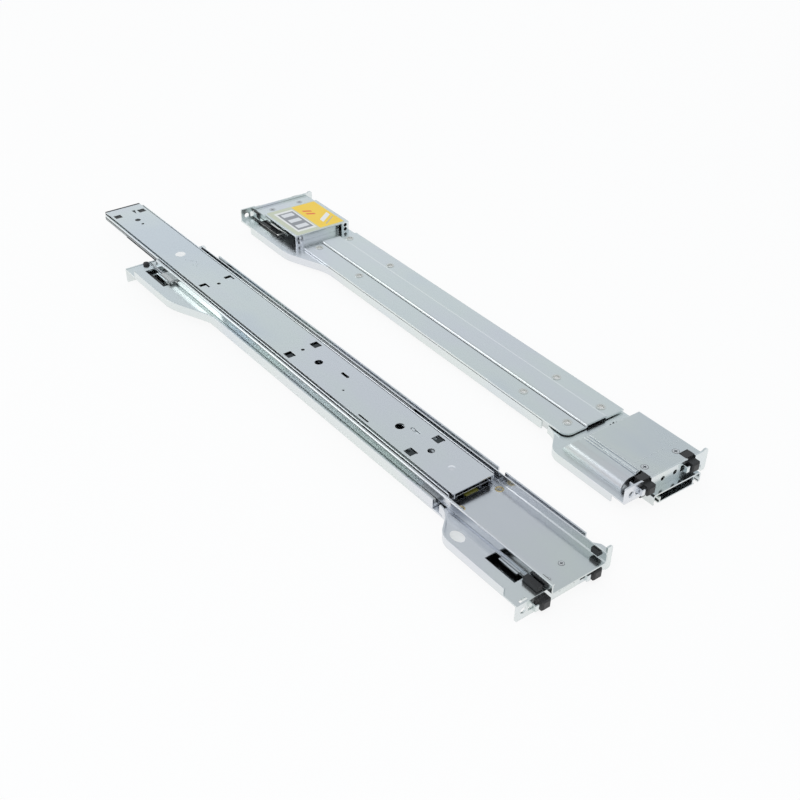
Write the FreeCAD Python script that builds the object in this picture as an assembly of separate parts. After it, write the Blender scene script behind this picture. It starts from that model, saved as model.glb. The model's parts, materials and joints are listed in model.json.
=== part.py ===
import FreeCAD, Part
import math
import os

# Pair of tool-less ball-bearing slide rails for a 19 inch rack, in millimetres.
# Each rail is drawn once in its own frame and placed twice, mirrored for the other hand.
# Rail frame: x = 0 at the front flange's face, +x to the front of the rack, y = 0 on the slide's
# centre line, z = 0 on the rack-side face of the outer channel's web, +z towards the chassis.

# ---- spans along the rail -------------------------------------------------------------------
shortest_span = 673.1
rest_extension = 8.0
channel_front = 6.8
middle_setback = 2.8
middle_recess = 2.2
middle_slot_margin = 90.0
middle_slot_pitch = 165.0
middle_slot_length = 34.0
middle_slot_width = 12.0
channel_length = 667.0
inner_length = 687.0
middle_length = 680.0
strip_front = 99.0
strip_length = 466.0
strip_inset = 0.3
strip_corner = 9.0
rib_left = -10.0
rib_right = 13.0
rib_depth = 2.2
rib_slope = 0.9
pushed_back = 131.0

# ---- sheet gauges and bends -----------------------------------------------------------------
channel_gauge = 1.5
bracket_gauge = 1.5
slider_gauge = 2.0
strip_gauge = 2.0
member_gauge = 1.2
cover_gauge = 1.2
latch_gauge = 1.2
sheet_gap = 0.4
inside_bend = 0.8
channel_bend = 0.5
member_bend = 0.3

# ---- slide section --------------------------------------------------------------------------
channel_width = 62.0
channel_depth = 11.5
lip_width = 2.2
ball_radius = 1.3
ball_gap = 0.3
cage_gauge = 0.5
cage_gap = 0.4
cage_length = 320.0
cage_front = 180.0
cage_height = 4.4
balls_per_row = 5
inner_rim = 1.5

# ---- openings of the inner member, from its nearer end ---------------------------------------
rear_windows = [239.3]
front_windows = [270.4, 68.4]
window_offset = 16.0
tab_length = 11.0
tab_width = 9.0
tab_drop = 2.6
end_window = 20.0
end_block_length = 50.0
end_block_height = 4.0
rear_round_holes = [(42.0, 0.0, 3.6), (55.5, 0.0, 1.9), (244.0, 0.0, 2.2)]
front_round_holes = [(270.4, 0.0, 2.0), (241.0, 0.0, 4.4), (185.3, -8.6, 1.2), (105.6, 0.0, 4.8), (59.0, 0.0, 3.6)]
front_slots = [(206.0, 8.0, 12.0, 3.4), (136.0, -20.0, 16.0, 2.0)]

# ---- channel web -----------------------------------------------------------------------------
bumper_x = 127.5
bumper_length = 7.0
bumper_width = 44.0
web_screw_radius = 2.6
web_screws_at = [(-14.0, 0.0), (-7.0, -22.0)]

# ---- bolt rows and rack fit -----------------------------------------------------------------
rivet_spacing = 44.45
rivet_outer_radius = 4.2
rivet_bore_radius = 3.3
rivet_head_radius = 4.9
rivet_head_height = 0.5
rivet_rows = [114.6, 178.3, 469.5, 556.0]
slot_clearance = 0.6
peg_spacing = 57.15
peg_centre = -6.0
peg_width = 9.4
peg_reach = 7.0
peg_body = 10.0
peg_body_width = 11.0
arm_gap = 1.2
arm_width = 5.8
arm_length = 19.0
arm_top = 5.0
peg_shoulder = 2.0
peg_clearance = 0.3
peg_level = -8.0
rack_screw_spacing = 15.875
rack_screw_radius = 2.5

# ---- brackets -------------------------------------------------------------------------------
bracket_half_width = 38.3
flare_reach = 61.0
flange_right = 44.5
flange_depth = 17.0
flange_gauge = 1.8
lip_height = 8.5
wall_height = 9.4
front_flare_bend = 20.0
front_flare_lead = 10.0
front_flare_run = 20.0
front_base_length = 124.0
front_lip_end = 16.0
rear_front_edge = 133.0
rear_flare_bend = 60.0
rear_flare_start = 166.0
rear_flare_run = 55.0
rear_lip_end = 24.0
ear_height = 24.5
ear_hole_radius = 3.2

# ---- front pocket ---------------------------------------------------------------------------
cover_length = 78.0
ramp_run = 12.0
cover_left = -29.0
cover_right = 36.4
cover_depth = 15.5
cover_screw_x = 14.8
cover_screw_rows = [-23.0, 17.3]
cover_screw_radius = 2.0
cover_head_radius = 3.4
cover_ridges = 3
ridge_run = 2.3
ridge_rise = 1.0
cover_edge = -51.5
cover_bend = 8.8
corner_depth = 14.0

# ---- finger windows and latches -------------------------------------------------------------
window_length = 36.0
window_width = 12.0
window_front = 21.0
window_inner = 32.6
rear_window_length = 46.0
rear_window_front = 18.0
pad_width = 2.2
latch_travel = 2.5
latch_gap = 0.5
latch_near = 10.8
latch_bar = 14.0
hook_width = 4.0
hook_reach = 5.0
hook_drop = 4.8
latch_level = -5.2
recess_depth = 11.0
spring_radius = 2.2
spring_wire = 0.7

# ---- member release and pads ----------------------------------------------------------------
release_back = 127.0
release_slot = 91.4
release_slot_length = 13.0
release_slot_width = 3.6
release_length = 56.0
release_y = 7.0
release_travel = 3.0
pin_radius = 1.1
pad_length = 22.0
pad_height = 2.4
pad_gap = 0.3

# ---- rear latch box -------------------------------------------------------------------------
box_length = 76.0
box_back = 26.0
box_left = -41.0
box_right = 36.0
box_depth = 15.5
ledge_depth = 13.0
skirt_length = 14.0
inner_wall_back = 9.0
box_tab_width = 10.0
box_hole_radius = 2.4

# ---- placing of the pair --------------------------------------------------------------------
rail_spacing = 162.8
right_setback = 38.4
right_splay = 1.42

V = FreeCAD.Vector
rest_span = shortest_span + rest_extension
half_channel = channel_width / 2
web_top = channel_gauge
slider_top = -sheet_gap
slider_bottom = slider_top - slider_gauge
strip_top = slider_bottom - sheet_gap
strip_bottom = strip_top - strip_gauge
middle_bottom = web_top + cage_gauge + 2 * cage_gap
middle_top = middle_bottom + member_gauge
leg_bottom = middle_top + cage_gauge + 2 * cage_gap
ball_level = (leg_bottom + channel_depth - member_gauge) / 2
outer_ball_y = half_channel - channel_gauge - ball_gap - ball_radius
middle_half = outer_ball_y - ball_radius - ball_gap
inner_ball_y = middle_half - member_gauge - ball_gap - ball_radius
leg_half = inner_ball_y - ball_radius - ball_gap
pad_inner = -window_inner


def direction(start, end):
    length = math.hypot(end[0] - start[0], end[1] - start[1])
    return ((end[0] - start[0]) / length, (end[1] - start[1]) / length)


def rounded_edges(points, radii, lift, closed=False):
    """Edges of a polyline whose corners are tangent arcs; lift turns (u, v) into a vector."""
    count = len(points)
    ends = []
    for i in range(count):
        here = points[i]
        if not closed and i in (0, count - 1) or radii[i] <= 0:
            ends.append((here, None, here))
            continue
        before = direction(points[i - 1], here)
        after = direction(here, points[(i + 1) % count])
        cross = before[0] * after[1] - before[1] * after[0]
        turn = math.atan2(abs(cross), before[0] * after[0] + before[1] * after[1])
        if turn < 1e-6:
            ends.append((here, None, here))
            continue
        cut = radii[i] * math.tan(turn / 2)
        side = 1 if cross > 0 else -1
        start = (here[0] - before[0] * cut, here[1] - before[1] * cut)
        end = (here[0] + after[0] * cut, here[1] + after[1] * cut)
        centre = (start[0] - side * before[1] * radii[i], start[1] + side * before[0] * radii[i])
        out = direction(centre, here)
        middle = (centre[0] + out[0] * radii[i], centre[1] + out[1] * radii[i])
        ends.append((start, middle, end))
    edges = []
    for i in range(count):
        start, middle, end = ends[i]
        if middle:
            edges.append(Part.Arc(lift(*start), lift(*middle), lift(*end)).toShape())
        if i == count - 1 and not closed:
            break
        following = ends[(i + 1) % count][0]
        if math.hypot(following[0] - end[0], following[1] - end[1]) > 1e-6:
            edges.append(Part.LineSegment(lift(*end), lift(*following)).toShape())
    return edges


def offset_path(points, gauge, bend):
    """Second skin of a bent sheet a gauge to the left of the first, with the radii of both."""
    count = len(points)
    bends = bend if isinstance(bend, list) else [bend] * count
    other = []
    near_radii = []
    far_radii = []
    for i in range(count):
        before = direction(points[max(i - 1, 0)], points[max(i, 1)])
        after = direction(points[min(i, count - 2)], points[min(i + 1, count - 1)])
        scale = gauge / (1 + before[0] * after[0] + before[1] * after[1])
        other.append((points[i][0] - (before[1] + after[1]) * scale,
                      points[i][1] + (before[0] + after[0]) * scale))
        left_turn = before[0] * after[1] - before[1] * after[0] > 0
        outer = bends[i] + abs(gauge)
        near_radii.append(outer if left_turn == (gauge > 0) else bends[i])
        far_radii.append(bends[i] if left_turn == (gauge > 0) else outer)
    return other, near_radii, far_radii


def sheet_face(points, gauge, bend, lift):
    """Face of a bent sheet: the given polyline is one skin, the other lies a gauge to its left."""
    other, near_radii, far_radii = offset_path(points, gauge, bend)
    near = rounded_edges(points, near_radii, lift)
    far = rounded_edges(other, far_radii, lift)
    caps = [Part.LineSegment(lift(*points[0]), lift(*other[0])).toShape()]
    caps.append(Part.LineSegment(lift(*points[-1]), lift(*other[-1])).toShape())
    return Part.Face(Part.Wire(Part.__sortEdges__(near + far + caps)))


def bent_rail(points, gauge, bend, rear, front):
    """Sheet profile in the yz plane, run along x from rear to front."""
    face = sheet_face(points, gauge, bend, lambda u, v: V(rear, u, v))
    return face.extrude(V(front - rear, 0, 0))


def bent_wall(points, gauge, bend, bottom, height):
    """Sheet standing on a plan curve in the xy plane."""
    face = sheet_face(points, gauge, bend, lambda u, v: V(u, v, bottom))
    return face.extrude(V(0, 0, height))


def plan_plate(points, radii, bottom, gauge):
    """Flat plate with rounded plan corners."""
    edges = rounded_edges(points, radii, lambda u, v: V(u, v, bottom), closed=True)
    return Part.Face(Part.Wire(edges)).extrude(V(0, 0, gauge))


def flange_plate(points, radii, back, gauge):
    """Flat plate square to the rail, drawn as (y, z) points."""
    edges = rounded_edges(points, radii, lambda u, v: V(back, u, v), closed=True)
    return Part.Face(Part.Wire(edges)).extrude(V(gauge, 0, 0))


def box(low, high):
    return Part.makeBox(high[0] - low[0], high[1] - low[1], high[2] - low[2], V(*low))


def post(x, y, bottom, top, radius):
    return Part.makeCylinder(radius, top - bottom, V(x, y, bottom))


def bore_x(x, y, z, length, radius):
    return Part.makeCylinder(radius, length, V(x, y, z), V(1, 0, 0))


def stadium(x, y, bottom, top, length, width):
    """Round-ended cutter lying along x."""
    run = (length - width) / 2
    shape = box((x - run, y - width / 2, bottom), (x + run, y + width / 2, top))
    for end in (x - run, x + run):
        shape = shape.fuse(post(end, y, bottom, top, width / 2))
    return shape


def cut_all(shape, tools):
    return shape.cut(Part.makeCompound(tools)) if tools else shape


def joined(shapes):
    result = shapes[0].fuse(shapes[1:]) if len(shapes) > 1 else shapes[0]
    return result.removeSplitter()


def rivet_points():
    return [(-x, side * rivet_spacing / 2) for x in rivet_rows for side in (-1, 1)]


# ---- slide members --------------------------------------------------------------------------

def outer_channel():
    """Outer member: wide C section whose rolled lips hold the outer ball rows."""
    corner = 2.0
    half = [(half_channel - lip_width, channel_depth), (half_channel, channel_depth)]
    half += [(half_channel, corner), (half_channel - corner, 0)]
    points = half + [(-y, z) for y, z in reversed(half)]
    rear = channel_front - channel_length
    shape = bent_rail(list(reversed(points)), channel_gauge, channel_bend, rear, channel_front)
    tools = [post(x, y, -1, web_top + 1, rivet_outer_radius) for x, y in rivet_points()]
    tools += [post(x, y, -1, web_top + 1, web_screw_radius) for x, y in web_screws_at]
    tools.append(box((-bumper_x - bumper_length / 2, -bumper_width / 2, -1),
                     (-bumper_x + bumper_length / 2, bumper_width / 2, web_top + 1)))
    return cut_all(shape, tools)


def middle_member(shift):
    """Middle member: shallow channel running between the two pairs of ball rows."""
    wall_top = channel_depth - middle_recess
    flare = 0.9
    half = [(middle_half, wall_top), (middle_half, middle_bottom + flare)]
    half.append((middle_half - flare, middle_bottom))
    points = half + [(-y, z) for y, z in reversed(half)]
    front = channel_front - middle_setback + shift
    shape = bent_rail(list(reversed(points)), member_gauge, member_bend, front - middle_length, front)
    cuts = []
    distance = middle_slot_margin
    while distance <= middle_length - middle_slot_margin:
        cuts.append(stadium(front - distance, 0, middle_bottom - 1, middle_top + 1, middle_slot_length, middle_slot_width))
        distance += middle_slot_pitch
    return cut_all(shape, cuts)


def member_end_caps(shift):
    """Moulded buffers on both ends of the middle member."""
    front = channel_front - middle_setback + shift
    inner = middle_half - member_gauge - member_bend
    caps = []
    for side in (-1, 1):
        y = sorted((side * (inner - 2.6), side * inner))
        low = middle_top
        high = channel_depth - middle_recess - 0.2
        caps.append(box((front - 8.0, y[0], low), (front, y[1], leg_bottom - 0.3)))
        rear = front - middle_length
        caps.append(box((rear - 2.2, y[0], low), (rear, y[1], high)))
    return Part.makeCompound(caps)


def inner_ends(shift):
    """Front and rear end of the inner member."""
    front = channel_front + shift
    return front, front - inner_length


def inner_hole_points(shift):
    """Round holes as (x, y, radius); each group keeps its distance from the nearer end."""
    front, rear = inner_ends(shift)
    near_rear = [(rear + distance, y, radius) for distance, y, radius in rear_round_holes]
    return near_rear + [(front - distance, y, radius) for distance, y, radius in front_round_holes]


def inner_member(shift):
    """Inner member: wide web with rims over the balls and legs; windows with bent tabs."""
    front, rear = inner_ends(shift)
    rim = leg_half + inner_rim
    web_bottom = channel_depth - member_gauge
    leg = joined([box((rear, leg_half - member_gauge, leg_bottom), (front, leg_half, channel_depth)),
                  box((rear, leg_half - member_gauge, web_bottom), (front, rim, channel_depth))])
    web = box((rear, -leg_half, web_bottom), (front, leg_half, channel_depth))
    shape = joined([web, leg, leg.mirror(V(0, 0, 0), V(0, 1, 0))])
    top = channel_depth + 1
    low = web_bottom - 1
    tools = []
    tabs = []
    centres = [rear + distance for distance in rear_windows] + [front - distance for distance in front_windows]
    for x in centres:
        for side in (-1, 1):
            y = side * window_offset
            tools.append(box((x - tab_length / 2, y - tab_width / 2, low), (x + tab_length / 2, y + tab_width / 2, top)))
            tabs.append(box((x - tab_length / 2 + 3.2, y - tab_width / 2 + 1, web_bottom - tab_drop),
                            (x + tab_length / 2 + 1.0, y + tab_width / 2 - 1, web_bottom)))
    for side in (-1, 1):
        x = rear + end_window
        y = side * window_offset
        tools.append(box((x - tab_width / 2, y - tab_width / 2, low), (x + tab_width / 2, y + tab_width / 2, top)))
    for x, y, radius in inner_hole_points(shift):
        tools.append(post(x, y, low, top, radius))
    for distance, y, length, width in front_slots:
        tools.append(stadium(front - distance, y, low, top, length, width))
    tools.append(stadium(front - release_slot, release_y, low, top, release_slot_length, release_slot_width))
    return joined([cut_all(shape, tools)] + tabs)


def inner_end_block(shift):
    """Moulded buffer closing the inner member's rear end, seen through its square windows."""
    rear = inner_ends(shift)[1]
    web_bottom = channel_depth - member_gauge
    inner = leg_half - member_gauge
    return box((rear, -inner, web_bottom - end_block_height), (rear + end_block_length, inner, web_bottom))


def ball_cage(centre_y, bridge_bottom, shift):
    """Retainer: two slotted strips joined by cross straps, one side per ball row."""
    front = -cage_front + shift
    rear = front - cage_length
    low = bridge_bottom
    high = ball_level + cage_height / 2
    half = [(centre_y + cage_gauge / 2, high), (centre_y + cage_gauge / 2, low)]
    points = half + [(-y, z) for y, z in reversed(half)]
    shape = bent_rail(list(reversed(points)), cage_gauge, 0, rear, front)
    gaps = []
    strap = 14.0
    straps = 3
    bay = (cage_length - straps * strap) / (straps - 1)
    inner = centre_y - cage_gauge
    for i in range(straps - 1):
        start = rear + strap + i * (bay + strap)
        gaps.append(box((start, -inner, low - 1), (start + bay, inner, low + cage_gauge + 0.1)))
    for x in ball_stations(shift):
        for side in (-1, 1):
            gaps.append(Part.makeCylinder(ball_radius + 0.05, 2, V(x, side * centre_y - 1, ball_level), V(0, 1, 0)))
    return cut_all(shape, gaps)


def ball_stations(shift):
    margin = 12.0
    pitch = (cage_length - 2 * margin) / (balls_per_row - 1)
    rear = -cage_front - cage_length + shift
    return [rear + margin + i * pitch for i in range(balls_per_row)]


def balls(centre_y, shift):
    spheres = []
    for x in ball_stations(shift):
        for side in (-1, 1):
            spheres.append(Part.makeSphere(ball_radius, V(x, side * centre_y, ball_level)))
    return Part.makeCompound(spheres)


# ---- rack-side strip, rivets, screws --------------------------------------------------------

def back_strip():
    """Backing strip with a shallow pressed rib; the rib's front end is open."""
    edge = bracket_half_width - strip_inset
    slope = rib_slope
    points = [(-edge, strip_top), (rib_left - slope, strip_top), (rib_left, strip_top - rib_depth),
              (rib_right, strip_top - rib_depth), (rib_right + slope, strip_top), (edge, strip_top)]
    rear = -strip_front - strip_length
    shape = bent_rail(list(reversed(points)), strip_gauge, 0.3, rear, -strip_front)
    tools = [post(x, y, strip_bottom - 3, strip_top + 1, rivet_outer_radius) for x, y in rivet_points()]
    corner = strip_corner
    cutter = box((-strip_front - corner, -edge - 1, strip_bottom - 3), (-strip_front + 1, -edge + corner, 1))
    cutter = cutter.cut(post(-strip_front - corner, -edge + corner, strip_bottom - 3, 1, corner))
    return cut_all(shape, tools + [cutter])


def tubular_rivets():
    """Hollow rivets through strip and channel web, rolled over on the strip."""
    rivets = []
    for x, y in rivet_points():
        barrel = post(x, y, strip_bottom, web_top, rivet_outer_radius)
        head = post(x, y, strip_bottom - rivet_head_height, strip_bottom, rivet_head_radius)
        bore = post(x, y, strip_bottom - 1, web_top + 1, rivet_bore_radius)
        rivets.append(barrel.fuse(head).cut(bore).removeSplitter())
    return Part.makeCompound(rivets)


def web_screws():
    shapes = []
    for x, y in web_screws_at:
        shapes.append(post(x, y, -bracket_gauge, web_top + 0.1, web_screw_radius))
    return Part.makeCompound(shapes)


def cover_screw_points():
    return [(-cover_screw_x, y) for y in cover_screw_rows]


def cover_screws():
    """Countersunk screws, flush with the cover, threaded into posts of the bracket."""
    screws = []
    for x, y in cover_screw_points():
        head = Part.makeCone(cover_head_radius, cover_screw_radius, cover_gauge, V(x, y, -cover_depth))
        shank = post(x, y, -cover_depth, -bracket_gauge, cover_screw_radius)
        screws.append(head.fuse(shank).removeSplitter())
    return Part.makeCompound(screws)


# ---- front bracket --------------------------------------------------------------------------

def peg_points():
    return [peg_centre + side * peg_spacing / 2 for side in (-1, 1)]


def hook_start(peg_y):
    return peg_y - peg_width / 2 - peg_shoulder - hook_width


def rack_flange(face, back, right_ear):
    """Rack flange outline with peg windows, hook slots, threaded screw holes and ear hole."""
    left = -flare_reach
    top = 0.0
    low = -flange_depth
    points = [(left, top), (left, low), (cover_left - 12, low), (cover_left - 9, -cover_depth),
              (cover_right + 1, -cover_depth), (cover_right + 3, low), (flange_right, low)]
    radii = [0, 1.5, 2, 2, 1, 1, 3]
    if right_ear:
        points += [(flange_right, ear_height - flange_depth), (cover_right + 2.0, ear_height - flange_depth),
                   (cover_right + 2.0, top)]
        radii += [2, 1, 0]
    else:
        points += [(flange_right, top)]
        radii += [3]
    low_x = min(face, back)
    plate = flange_plate(points, radii, low_x, abs(back - face))
    span = abs(back - face) + 2
    tools = []
    for y in peg_points():
        foot = -flange_depth - 1 if right_ear else peg_level - peg_width / 2 - peg_clearance
        window = box((low_x - 1, y - peg_width / 2 - peg_clearance, foot),
                     (low_x + span - 1, y + peg_width / 2 + peg_clearance, peg_level + peg_width / 2 + peg_clearance))
        slot = box((low_x - 1, hook_start(y) - latch_travel - latch_gap, latch_level - latch_gauge - hook_drop - latch_gap),
                   (low_x + span - 1, y, latch_level + latch_gap))
        tools.append(window.fuse(slot))
    for side in (-1, 1):
        y = peg_centre + side * rack_screw_spacing / 2
        tools.append(bore_x(low_x - 1, y, peg_level, span, rack_screw_radius))
    tools.append(bore_x(low_x - 1, left + 7.5, peg_level, span, ear_hole_radius))
    return cut_all(plate, tools)


def front_bracket():
    """Base plate with flared finger side, up-turned lip, finger window and rack flange."""
    bottom = -bracket_gauge
    half = bracket_half_width
    flare_in = -front_base_length + front_flare_lead
    flare_out = flare_in + front_flare_run
    outline = [(-front_base_length, half), (-front_base_length, -half), (flare_in, -half),
               (flare_out, -flare_reach), (0, -flare_reach), (0, flange_right),
               (-12, flange_right), (-20, half)]
    radii = [2, 0, front_flare_bend + bracket_gauge, front_flare_bend, 0, 0, 4, 4]
    plate = plan_plate(outline, radii, bottom, bracket_gauge)
    lip_path = [(-front_base_length, -half), (flare_in, -half),
                (flare_out, -flare_reach), (-front_lip_end, -flare_reach)]
    lip = bent_wall(lip_path, bracket_gauge, [0, front_flare_bend + bracket_gauge, front_flare_bend - bracket_gauge, 0], bottom, lip_height)
    right_path = [(-24, half), (-front_base_length, half)]
    right = bent_wall(right_path, bracket_gauge, 0, bottom, lip_height)
    flange = rack_flange(0, -flange_gauge, True)
    y_low = -window_inner - window_width
    tools = [box((-window_front - window_length, y_low, bottom - 1), (-window_front, -window_inner, 1))]
    tools += [post(x, y, bottom - 1, 1, rivet_outer_radius) for x, y in rivet_points()[:2]]
    tools += [post(x, y, bottom - 1, 1, web_screw_radius) for x, y in web_screws_at]
    tools.append(box((-bumper_x - bumper_length, -bumper_width / 2, bottom - 1), (-bumper_x + bumper_length / 2, bumper_width / 2, 1)))
    tools.append(box((-flange_gauge - 3.0, -flare_reach + 5.0, bottom - 1), (-flange_gauge, -flare_reach + 13.0, 1)))
    low, far = arm_span()
    tools.append(box((far - sheet_gap, low - sheet_gap, bottom - 1), (-flange_gauge, low + arm_width + sheet_gap, 1)))
    plate = cut_all(plate, tools)
    return joined([plate, lip, right, flange])


def front_cover():
    """Raised rack-side cover: flat crown, three ridges, a broad bend over the finger window, a rear ramp."""
    y = cover_left
    z = -cover_depth
    points = [(cover_right, -bracket_gauge), (cover_right, z), (y, z)]
    for i in range(cover_ridges):
        points.append((y - ridge_rise, z + ridge_rise))
        y -= ridge_run
        z += ridge_rise
        points.append((y, z))
    points += [(cover_edge, z), (cover_edge, -bracket_gauge)]
    bends = [0.2] * len(points)
    bends[-2] = cover_bend
    inner, outer_radii, inner_radii = offset_path(points, -cover_gauge, bends)
    front = -flange_gauge
    rear = -cover_length - ramp_run
    skins = []
    for path, radii, shift in ((points, outer_radii, 0), (inner, inner_radii, cover_gauge * 1.5)):
        edges = rounded_edges(path, radii, lambda u, v: V(rear, u, v))
        base = Part.LineSegment(V(rear, *path[-1]), V(rear, *path[0])).toShape()
        solid = Part.Face(Part.Wire(Part.__sortEdges__(edges + [base]))).extrude(V(front - rear, 0, 0))
        slope = [V(rear + shift, 0, -bracket_gauge), V(-cover_length + shift, 0, -cover_depth)]
        slope += [V(-cover_length + shift, 0, -cover_depth - 1), V(rear - 1, 0, -cover_depth - 1)]
        slope += [V(rear - 1, 0, -bracket_gauge + 1), V(rear + shift, 0, -bracket_gauge + 1), V(rear + shift, 0, -bracket_gauge)]
        wedge = Part.Face(Part.makePolygon(slope)).extrude(V(0, 4 * half_channel, 0))
        wedge.translate(V(0, -2 * half_channel, 0))
        skins.append(solid.cut(wedge))
    shape = skins[0].cut(skins[1])
    tools = []
    for x, screw_y in cover_screw_points():
        tools.append(Part.makeCone(cover_head_radius, cover_screw_radius, cover_gauge, V(x, screw_y, -cover_depth)))
    left_peg, right_peg = peg_points()
    edge = peg_body_width / 2 + peg_clearance
    tools.append(box((-corner_depth, cover_edge - 1, -cover_depth - 1), (1, left_peg + edge, 1)))
    tools.append(box((-recess_depth, right_peg - edge, -cover_depth - 1),
                     (1, right_peg + edge, -cover_depth + 2 * cover_gauge)))
    return cut_all(shape, tools)


def pegs(face, way, crown, arm):
    """Moulded blocks with square pegs that enter the rack's square holes; one may carry an arm."""
    blocks = []
    high = peg_level + peg_width / 2
    seat = face - way * (flange_gauge + peg_clearance)
    for y in peg_points():
        ends = sorted((seat, face + way * peg_reach))
        nose = box((ends[0], y - peg_width / 2, peg_level - peg_width / 2), (ends[1], y + peg_width / 2, high))
        tip = [e for e in nose.Edges if abs(e.CenterOfMass.x - (face + way * peg_reach)) < 1e-6]
        ends = sorted((face - way * peg_body, seat))
        body = box((ends[0], y - peg_body_width / 2, crown), (ends[1], y + peg_body_width / 2, high))
        blocks.append(nose.makeChamfer(1.2, tip).fuse(body))
    if arm:
        low, far = arm_span()
        blocks[0] = blocks[0].fuse(box((far, low, high), (seat, low + arm_width, arm_top)))
    return Part.makeCompound([block.removeSplitter() for block in blocks])


def arm_span():
    """Outer side and rear end of the arm that stands up beside the channel."""
    return -half_channel - arm_gap - arm_width, -arm_length


def latch(face, way, floor, window_near, window_far):
    """Sliding latch plate guided on the two posts: hooks beside the pegs, finger bar in the window."""
    top = latch_level
    bottom = top - latch_gauge
    near = face - way * latch_near
    far = near - way * latch_bar
    pegs_y = peg_points()
    right = cover_screw_rows[1] + cover_screw_radius + 3.0
    xs = sorted((near, far))
    parts = [box((xs[0], hook_start(pegs_y[0]), bottom), (xs[1], right, top))]
    end = face - way * window_far
    xs = sorted((far, end))
    pad_outer = pad_inner - pad_width
    pad_top = floor - latch_gap
    parts.append(box((xs[0], pad_inner + latch_travel, bottom), (xs[1], pad_inner + latch_travel + 4.0, top)))
    xs = sorted((face - way * (window_near + 8.0), end + way * 6.0))
    parts.append(box((xs[0], pad_inner + latch_travel, bottom),
                     (xs[1], pad_inner + latch_travel + latch_gauge, pad_top)))
    parts.append(box((xs[0], pad_outer, pad_top - latch_gauge),
                     (xs[1], pad_inner + latch_travel + latch_gauge, pad_top)))
    for y in pegs_y:
        tip = face + way * hook_reach
        xs = sorted((near, tip))
        parts.append(box((xs[0], hook_start(y), bottom - hook_drop), (xs[1], hook_start(y) + latch_gauge, top)))
        xs = sorted((tip, tip - way * latch_gauge))
        parts.append(box((xs[0], hook_start(y), bottom - hook_drop), (xs[1], hook_start(y) + hook_width, top)))
    plate = joined(parts)
    slots = []
    for x, y in latch_posts(face, way):
        radius = cover_screw_radius + latch_gap / 2
        slots.append(post(x, y, bottom - 1, top + 1, radius))
        slots.append(post(x, y + latch_travel, bottom - 1, top + 1, radius))
        slots.append(box((x - radius, y, bottom - 1), (x + radius, y + latch_travel, top + 1)))
    return plate.cut(slots[0].fuse(slots[1:]))


def latch_posts(face, way):
    return [(face - way * cover_screw_x, y) for y in cover_screw_rows]


def latch_spring(face, way, end):
    """Extension spring that draws the latch plate home against a lug of the pocket's far wall."""
    x = face - way * (latch_near + latch_bar / 2)
    z = latch_level - latch_gauge / 2
    start = cover_screw_rows[1] + cover_screw_radius + 3.0
    outer = Part.makeCylinder(spring_radius, end - start, V(x, start, z), V(0, 1, 0))
    return outer.cut(Part.makeCylinder(spring_radius - spring_wire, end - start, V(x, start, z), V(0, 1, 0)))


def channel_bumper():
    """Soft buffer in the web's cross slot."""
    x = -bumper_x
    gap = 0.2
    return box((x - bumper_length / 2 + gap, -7.0, 0.0), (x + bumper_length / 2 - gap, 7.0, web_top))


def cage_stops():
    """Moulded stops that keep the outer ball cage in its raceways."""
    stops = []
    stop_level = web_top + 3.0
    inner = middle_half + 0.4
    outer = half_channel - channel_gauge
    for x in (0.0, channel_front - channel_length + 9.0):
        for side in (-1, 1):
            y = sorted((side * inner, side * outer))
            stops.append(box((x - 8.0, y[0], stop_level), (x, y[1], channel_depth - channel_gauge - channel_bend)))
    return Part.makeCompound(stops)


# ---- rear bracket ---------------------------------------------------------------------------

def rear_bracket():
    """Telescoping tray: slotted plate, side walls, flare, finger window and rack flange."""
    rear = -rest_span
    half = bracket_half_width
    front = -rear_front_edge
    flare_in = rear + rear_flare_start
    flare_out = flare_in - rear_flare_run
    outline = [(front, half), (rear, half), (rear, -flare_reach), (flare_out, -flare_reach),
               (flare_in, -half), (front, -half)]
    radii = [0, 0, 0, rear_flare_bend, rear_flare_bend + bracket_gauge, 0]
    plate = plan_plate(outline, radii, slider_bottom, slider_gauge)
    side = [(rear + rear_lip_end, -flare_reach), (flare_out, -flare_reach), (flare_in, -half), (front, -half)]
    bends = [0, rear_flare_bend - bracket_gauge, rear_flare_bend + bracket_gauge, 0]
    left = bent_wall(side, bracket_gauge, bends, slider_bottom, wall_height)
    right = bent_wall([(front, half), (rear + 2 * rear_lip_end, half)], bracket_gauge, 0, slider_bottom, wall_height)
    flange = rack_flange(rear, rear + flange_gauge, False)
    slot_half = rivet_outer_radius + slot_clearance
    slot_end = -rivet_rows[-1] - slot_half - rest_extension - slot_clearance
    tools = []
    for side_sign in (-1, 1):
        y = side_sign * rivet_spacing / 2
        tools.append(box((slot_end + slot_half, y - slot_half, slider_bottom - 1), (front + 1, y + slot_half, 1)))
        tools.append(post(slot_end + slot_half, y, slider_bottom - 1, 1, slot_half))
    near = rear + rear_window_front
    y_low = -window_inner - window_width
    tools.append(box((near, y_low, slider_bottom - 1), (near + rear_window_length, -window_inner, 1)))
    return joined([cut_all(plate, tools), left, right, flange])


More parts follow.
